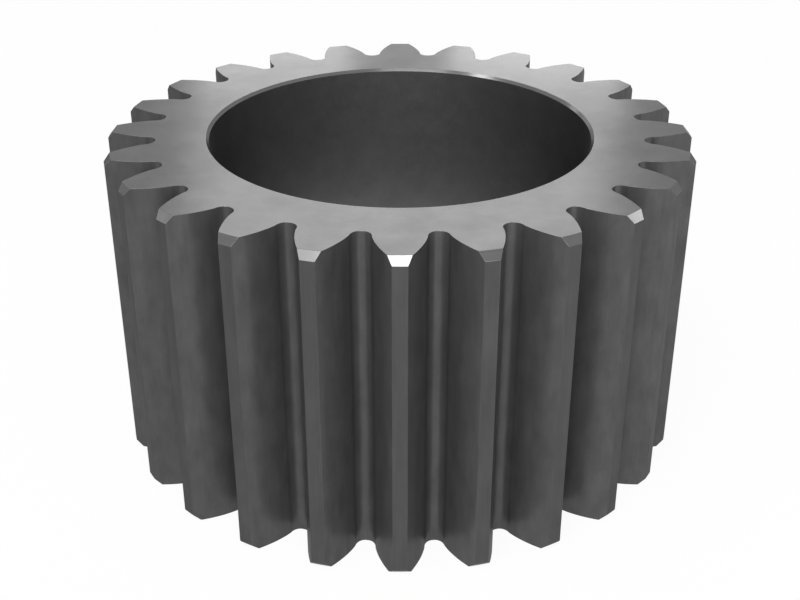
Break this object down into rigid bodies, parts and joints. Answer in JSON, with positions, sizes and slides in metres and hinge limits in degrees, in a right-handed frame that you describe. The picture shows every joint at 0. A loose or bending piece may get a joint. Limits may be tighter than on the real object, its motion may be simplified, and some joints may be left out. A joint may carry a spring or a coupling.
{
  "type": "planet gear",
  "caption": "Wide straight-toothed spur gear in one piece of steel, bored right through to run on rollers, with chamfered tooth ends and bore edges.",
  "frame": {"origin": "centre of the lower end face, on the axis of the bore", "axes": "+Z along the axis of the bore, up through the gear; one tooth points along -Y"},
  "size_m": [0.1348, 0.1348, 0.0755],
  "materials": {
    "gear_steel": "ground and hardened steel, dark satin"
  },
  "bodies": {
    "root": {"planet_gear": "gear_steel"}
  },
  "joints": []
}
